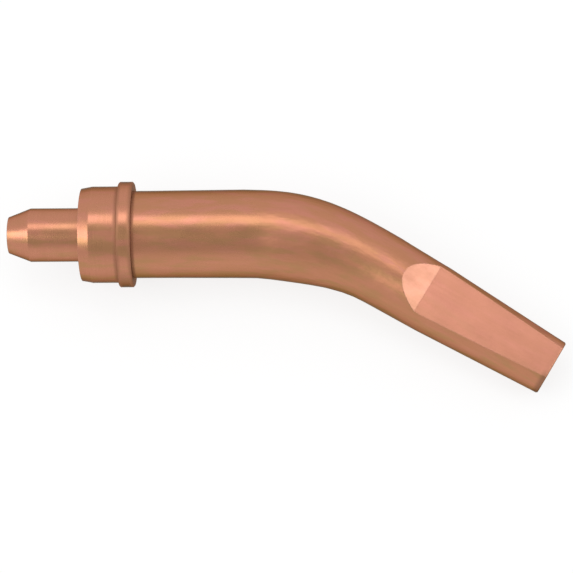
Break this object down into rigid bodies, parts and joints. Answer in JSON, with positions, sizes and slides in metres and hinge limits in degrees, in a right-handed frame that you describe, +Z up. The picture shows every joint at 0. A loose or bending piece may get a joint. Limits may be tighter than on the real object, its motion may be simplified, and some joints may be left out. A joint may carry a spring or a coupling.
{
  "type": "oxy fuel cutting tip",
  "caption": "Bent gouging-pattern oxy fuel cutting tip: one copper piece with a nose cone, spigot, collar, curved barrel and flatted nozzle that carries cutting oxygen and preheat gas.",
  "frame": {"origin": "on the floor, below the middle of the bounding box of the tip as it lies", "axes": "+X along the straight barrel from the nose towards the nozzle, +Y to the outer side of the bend so the nozzle points to -Y, +Z up; the tip lies on its side as it comes to rest, on its collar, the outside of its bend and the start of its lower flat"},
  "size_m": [0.0994, 0.0389, 0.0191],
  "materials": {
    "copper": "satin turned copper, warm pink-brown, with light turning and brushing marks"
  },
  "bodies": {
    "root": {"gouging_tip": "copper"}
  },
  "joints": []
}
